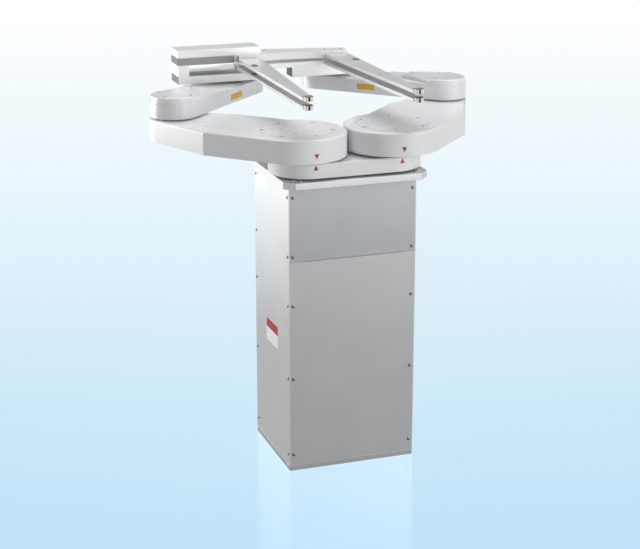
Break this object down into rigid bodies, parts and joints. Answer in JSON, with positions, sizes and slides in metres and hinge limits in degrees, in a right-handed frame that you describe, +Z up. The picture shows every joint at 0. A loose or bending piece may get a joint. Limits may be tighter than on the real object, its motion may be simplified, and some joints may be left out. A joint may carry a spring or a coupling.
{
  "type": "wafer transfer robot",
  "caption": "Square lift column with a turning waist and two mirrored folding arms that carry stacked two-fingered hands for large wafers.",
  "frame": {"origin": "centre of the column's foot, on the floor plane", "axes": "+Z up along the lift; +X along the column's wide face, towards the arm with the lower hand; the hands reach towards -Y"},
  "size_m": [0.7704, 0.6361, 0.9015],
  "materials": {
    "sheet_front": "satin sheet, fine vertical grain",
    "sheet_upper": "satin sheet",
    "sheet_side": "satin sheet",
    "frame_metal": "machined",
    "steel": "ground steel",
    "post_metal": "smooth anodised",
    "flange_metal": "machined, satin",
    "seal": "matt",
    "motor_black": "satin black",
    "belt_rubber": "matt",
    "screw_steel": "dull steel",
    "arm_paint": "satin light grey paint",
    "cover_paint": "satin light grey paint",
    "hand_metal": "fine machined",
    "plate_dark": "dark anodised",
    "finger_metal": "fine machined",
    "rest_plastic": "brown rest pads"
  },
  "bodies": {
    "column": {"base_plate": "frame_metal", "column_frame": "frame_metal", "cover_front_upper": "sheet_upper", "cover_front_lower": "sheet_front", "cover_left": "sheet_side", "cover_right": "sheet_side", "cover_rear": "sheet_front", "column_screws": "screw_steel", "top_flange": "flange_metal", "post_seal": "seal", "guide_rails": "frame_metal", "ball_screw": "steel", "lift_motor": "motor_black", "lift_belt": "belt_rubber"},
    "lift": {"lift_carriage": "frame_metal", "lift_runners": "steel", "lift_post": "post_metal", "theta_motor": "motor_black", "theta_bearing": "steel"},
    "waist": {"waist_housing": "arm_paint", "waist_base_cover": "post_metal", "theta_tube": "steel", "arm_motors": "motor_black", "shoulder_bearings": "steel", "shoulder_posts": "steel", "drive_belts": "belt_rubber"},
    "left_link": {"left_link_housing": "arm_paint", "left_link_cover": "cover_paint", "left_link_screws": "screw_steel", "left_link_hub": "steel", "left_link_belt": "belt_rubber", "left_elbow_post": "steel"},
    "left_forearm": {"left_forearm_housing": "arm_paint", "left_forearm_cap": "cover_paint", "left_forearm_screws": "screw_steel", "left_elbow_hub": "steel", "left_forearm_belt": "belt_rubber"},
    "upper_hand": {"upper_wrist_shaft": "steel", "upper_bracket": "hand_metal", "upper_bracket_top": "plate_dark", "upper_bar": "hand_metal", "upper_fingers": "finger_metal", "upper_pads": "rest_plastic", "clamp_box": "hand_metal"},
    "right_link": {"right_link_housing": "arm_paint", "right_link_cover": "cover_paint", "right_link_screws": "screw_steel", "right_link_hub": "steel", "right_link_belt": "belt_rubber", "right_elbow_post": "steel"},
    "right_forearm": {"right_forearm_housing": "arm_paint", "right_forearm_cap": "cover_paint", "right_forearm_screws": "screw_steel", "right_elbow_hub": "steel", "right_forearm_belt": "belt_rubber"},
    "lower_hand": {"lower_wrist_shaft": "steel", "lower_block": "hand_metal", "lower_bar": "hand_metal", "lower_fingers": "finger_metal", "lower_pads": "rest_plastic"}
  },
  "joints": [
    {"name": "z_lift", "type": "slide", "parent": "column", "child": "lift", "axis": [0, 0, 1], "range_m": [0, 0.3]},
    {"name": "theta", "type": "hinge", "parent": "lift", "child": "waist", "pos_m": [0, -0.07, 0.7], "axis": [0, 0, 1], "range_deg": [-165, 165]},
    {"name": "left_shoulder", "type": "hinge", "parent": "waist", "child": "left_link", "pos_m": [-0.111, -0.07, 0.73], "axis": [0, 0, 1], "range_deg": [-10, 125]},
    {"name": "left_elbow", "type": "hinge", "parent": "left_link", "child": "left_forearm", "pos_m": [-0.32921, 0.15439, 0.79], "axis": [0, 0, 1], "range_deg": [-250, 20]},
    {"name": "upper_wrist", "type": "hinge", "parent": "left_forearm", "child": "upper_hand", "pos_m": [-0.111, 0.37879, 0.82], "axis": [0, 0, 1], "range_deg": [-10, 125]},
    {"name": "right_shoulder", "type": "hinge", "parent": "waist", "child": "right_link", "pos_m": [0.111, -0.07, 0.73], "axis": [0, 0, -1], "range_deg": [-10, 125]},
    {"name": "right_elbow", "type": "hinge", "parent": "right_link", "child": "right_forearm", "pos_m": [0.32921, 0.15439, 0.79], "axis": [0, 0, -1], "range_deg": [-250, 20]},
    {"name": "lower_wrist", "type": "hinge", "parent": "right_forearm", "child": "lower_hand", "pos_m": [0.111, 0.37879, 0.82], "axis": [0, 0, -1], "range_deg": [-10, 125]}
  ],
  "couplings": [
    {"joint": "left_elbow", "follows": "left_shoulder", "ratio": -2},
    {"joint": "upper_wrist", "follows": "left_shoulder", "ratio": 1},
    {"joint": "right_elbow", "follows": "right_shoulder", "ratio": -2},
    {"joint": "lower_wrist", "follows": "right_shoulder", "ratio": 1}
  ]
}
